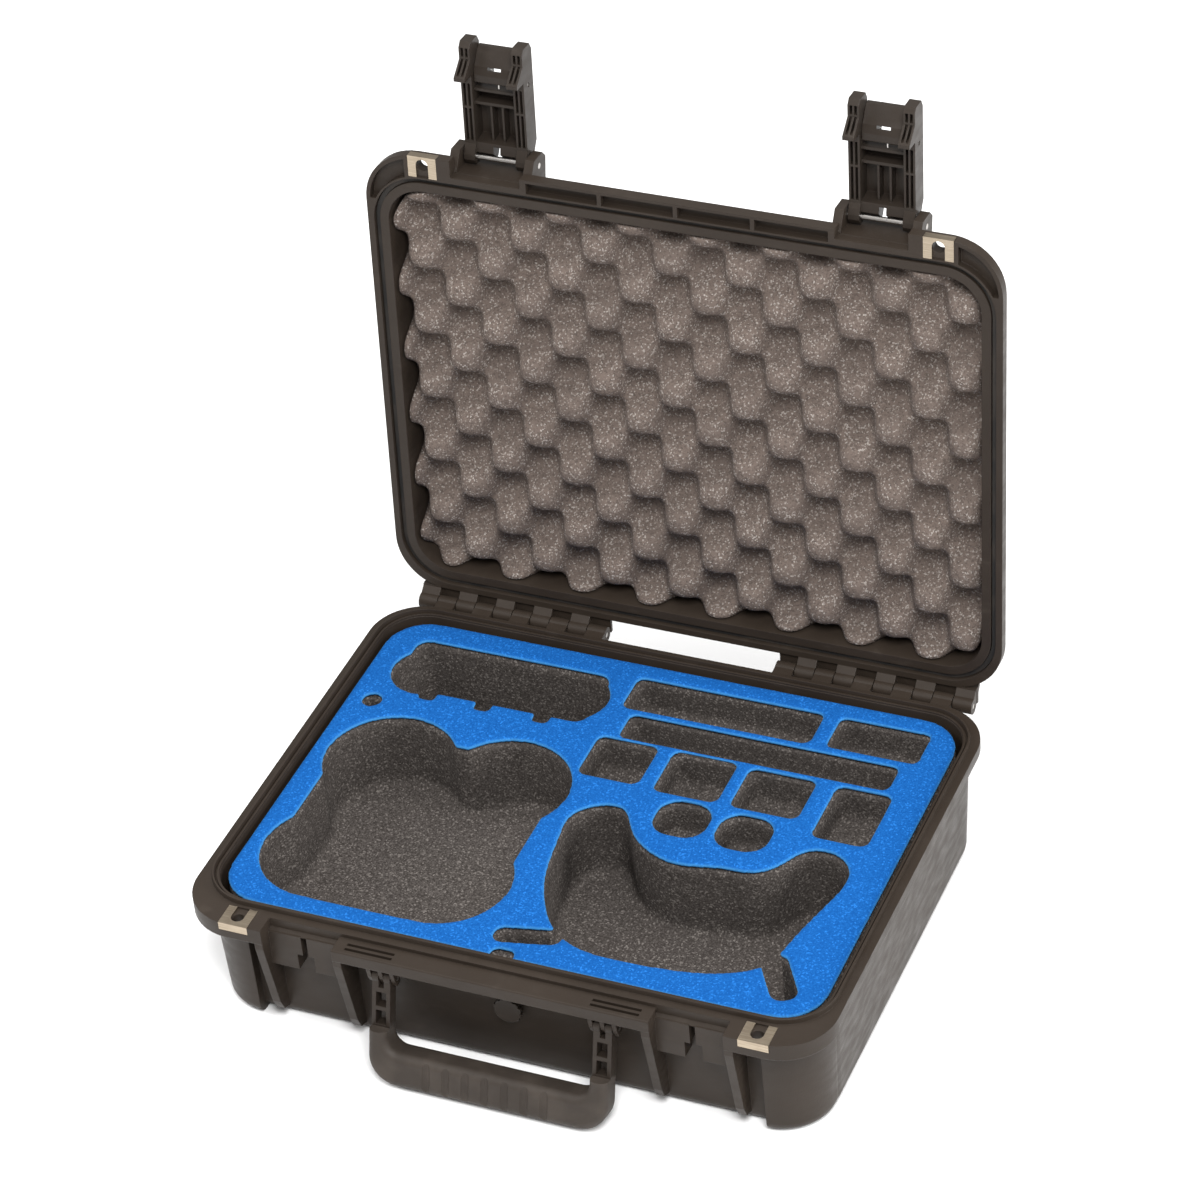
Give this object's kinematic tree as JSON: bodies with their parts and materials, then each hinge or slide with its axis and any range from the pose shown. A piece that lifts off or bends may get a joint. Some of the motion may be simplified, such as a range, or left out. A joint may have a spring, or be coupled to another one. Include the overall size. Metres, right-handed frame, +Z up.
{
  "type": "drone carrying case",
  "caption": "Hard waterproof carrying case with a hinged lid, latches, a folding handle and foam cut for a small drone, goggles, controller and batteries.",
  "frame": {"origin": "centre of the base's underside, where the base shell stands on the floor", "axes": "+X to the case's right seen from the handle side, +Y towards the hinges, +Z up"},
  "size_m": [0.455, 0.4601, 0.5284],
  "materials": {
    "shell_plastic": "satin",
    "grip_rubber": "matte",
    "seal_rubber": "matte",
    "plate_steel": "satin",
    "pin_steel": "satin",
    "foam_charcoal": "matte",
    "foam_blue": "matte",
    "foam_lid": "matte"
  },
  "bodies": {
    "base": {"base_shell": "shell_plastic", "base_plate_left": "plate_steel", "base_plate_right": "plate_steel", "hinge_pin_left": "pin_steel", "hinge_pin_right": "pin_steel", "handle_pin_left": "pin_steel", "handle_pin_right": "pin_steel", "valve_body": "shell_plastic", "valve_knob": "shell_plastic", "valve_nut": "shell_plastic", "valve_seal": "seal_rubber", "foam_floor_pad": "foam_charcoal", "foam_core_drone": "foam_charcoal", "foam_core_controller": "foam_charcoal", "foam_core_goggles": "foam_charcoal", "foam_core_batteries_left": "foam_charcoal", "foam_core_batteries_right": "foam_charcoal", "foam_core_bar": "foam_charcoal", "foam_core_cable": "foam_charcoal", "foam_core_propellers": "foam_charcoal", "foam_face_drone": "foam_blue", "foam_face_controller": "foam_blue", "foam_face_goggles": "foam_blue", "foam_face_batteries_left": "foam_blue", "foam_face_batteries_right": "foam_blue", "foam_face_bar": "foam_blue", "foam_face_cable": "foam_blue", "foam_face_propellers": "foam_blue"},
    "lid": {"lid_shell": "shell_plastic", "lid_gasket": "seal_rubber", "lid_plate_left": "plate_steel", "lid_plate_right": "plate_steel", "latch_pin_left": "pin_steel", "latch_pin_right": "pin_steel", "lid_foam": "foam_lid"},
    "handle": {"handle_frame": "shell_plastic", "handle_grip": "grip_rubber"},
    "latch_left": {"latch_frame_left": "shell_plastic", "trigger_pin_left": "pin_steel"},
    "trigger_left": {"latch_trigger_left": "shell_plastic", "trigger_spring_left": "pin_steel"},
    "latch_right": {"latch_frame_right": "shell_plastic", "trigger_pin_right": "pin_steel"},
    "trigger_right": {"latch_trigger_right": "shell_plastic", "trigger_spring_right": "pin_steel"}
  },
  "joints": [
    {"name": "lid_hinge", "type": "hinge", "parent": "base", "child": "lid", "pos_m": [0, 0.1795, 0.091], "axis": [-1, 0, 0], "range_deg": [-94, 0]},
    {"name": "handle_hinge", "type": "hinge", "parent": "base", "child": "handle", "pos_m": [0, -0.177, 0.074], "axis": [-1, 0, 0], "range_deg": [-15, 75]},
    {"name": "latch_left_hinge", "type": "hinge", "parent": "lid", "child": "latch_left", "pos_m": [-0.1375, 0.23173, 0.44372], "axis": [-1, 0, 0], "range_deg": [-90, 0]},
    {"name": "trigger_left_hinge", "type": "hinge", "parent": "latch_left", "child": "trigger_left", "pos_m": [-0.1375, 0.24266, 0.49959], "axis": [-1, 0, 0], "range_deg": [0, 15], "stiffness_Nm_per_rad": 0.05},
    {"name": "latch_right_hinge", "type": "hinge", "parent": "lid", "child": "latch_right", "pos_m": [0.1375, 0.23173, 0.44372], "axis": [-1, 0, 0], "range_deg": [-90, 0]},
    {"name": "trigger_right_hinge", "type": "hinge", "parent": "latch_right", "child": "trigger_right", "pos_m": [0.1375, 0.24266, 0.49959], "axis": [-1, 0, 0], "range_deg": [0, 15], "stiffness_Nm_per_rad": 0.05}
  ]
}
